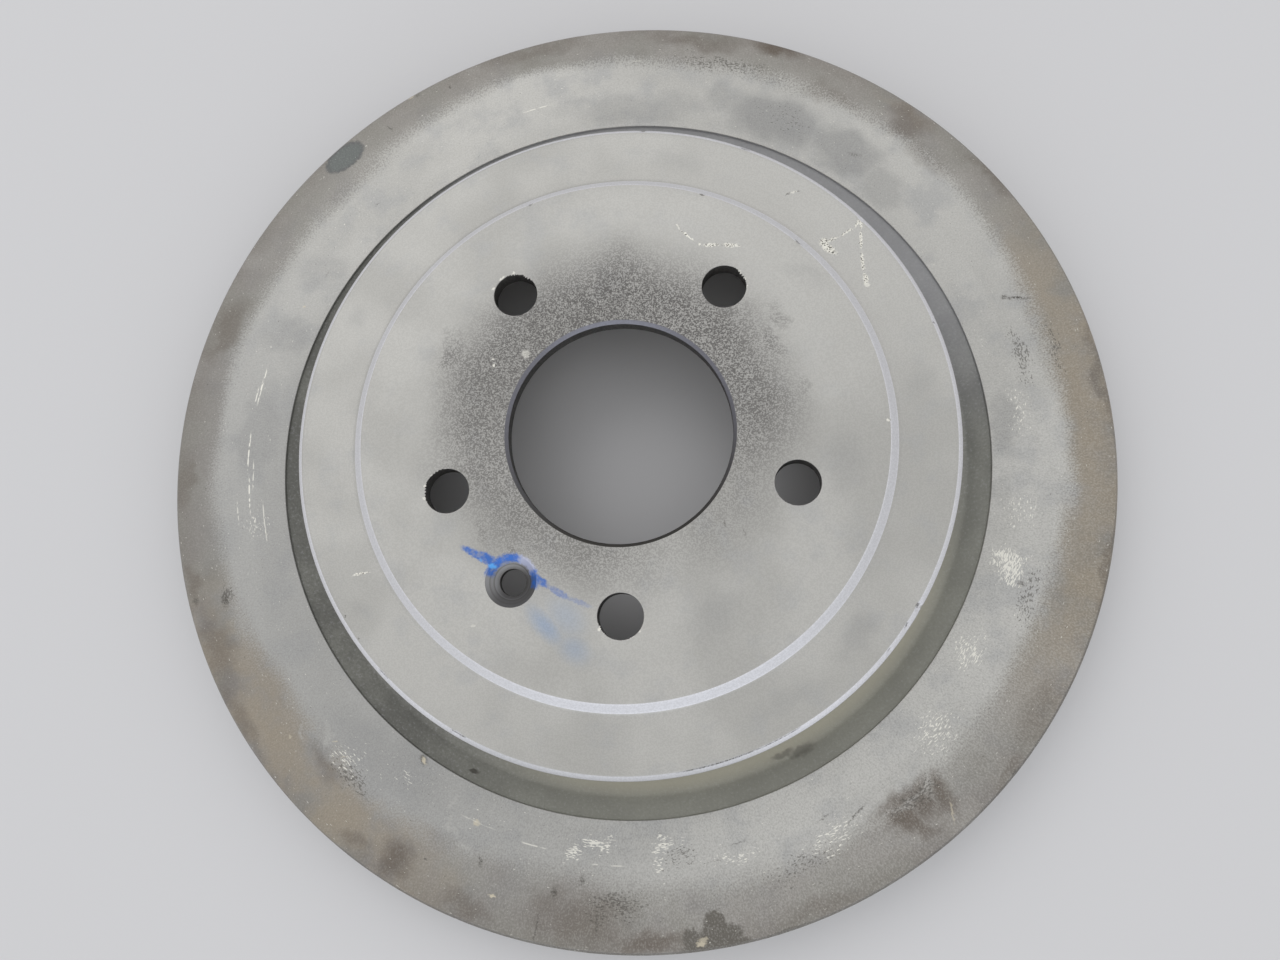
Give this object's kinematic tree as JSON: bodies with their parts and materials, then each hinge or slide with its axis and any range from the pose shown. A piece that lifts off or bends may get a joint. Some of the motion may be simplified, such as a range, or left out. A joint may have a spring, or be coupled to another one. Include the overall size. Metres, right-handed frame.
{
  "type": "brake disc",
  "caption": "Vented rear brake disc in cast iron: stepped hat with a parking brake drum inside it, wheel bolt holes, a countersunk screw hole and straight radial vanes.",
  "frame": {"origin": "on the disc's axis, in the plane of the inboard friction face, which is the lowest face", "axes": "+Z along the disc's axis from the hub side to the wheel side, hat up; a wheel bolt hole lies 54 degrees from +X towards +Y, with the screw hole opposite it"},
  "size_m": [0.32, 0.32, 0.0475],
  "materials": {
    "casting": "matte grey corrosion coating over turned iron, with darker grainy patches"
  },
  "bodies": {
    "root": {"brake_disc": "casting"}
  },
  "joints": []
}
